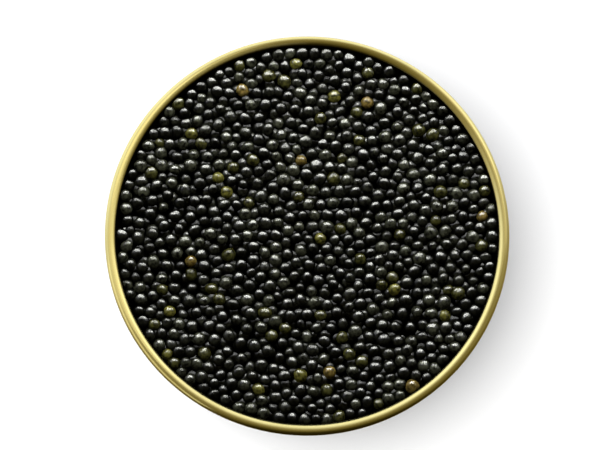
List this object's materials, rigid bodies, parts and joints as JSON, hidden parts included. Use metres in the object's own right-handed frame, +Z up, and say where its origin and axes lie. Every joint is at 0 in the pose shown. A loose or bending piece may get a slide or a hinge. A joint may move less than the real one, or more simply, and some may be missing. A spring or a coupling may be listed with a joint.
{
  "type": "tin of caviar",
  "caption": "Open round gold-lacquered metal tin with a curled rim, filled nearly to the brim with glossy black sturgeon caviar.",
  "frame": {"origin": "middle of the base, on the surface that the tin stands on", "axes": "+Z up along the tin's axis"},
  "size_m": [0.084, 0.084, 0.026],
  "materials": {
    "gold_lacquer": "satin clear gold lacquer over bright tinplate",
    "caviar": "wet and glossy, near-black eggs with some olive and amber ones"
  },
  "bodies": {
    "root": {"tin": "gold_lacquer", "caviar": "caviar"}
  },
  "joints": []
}
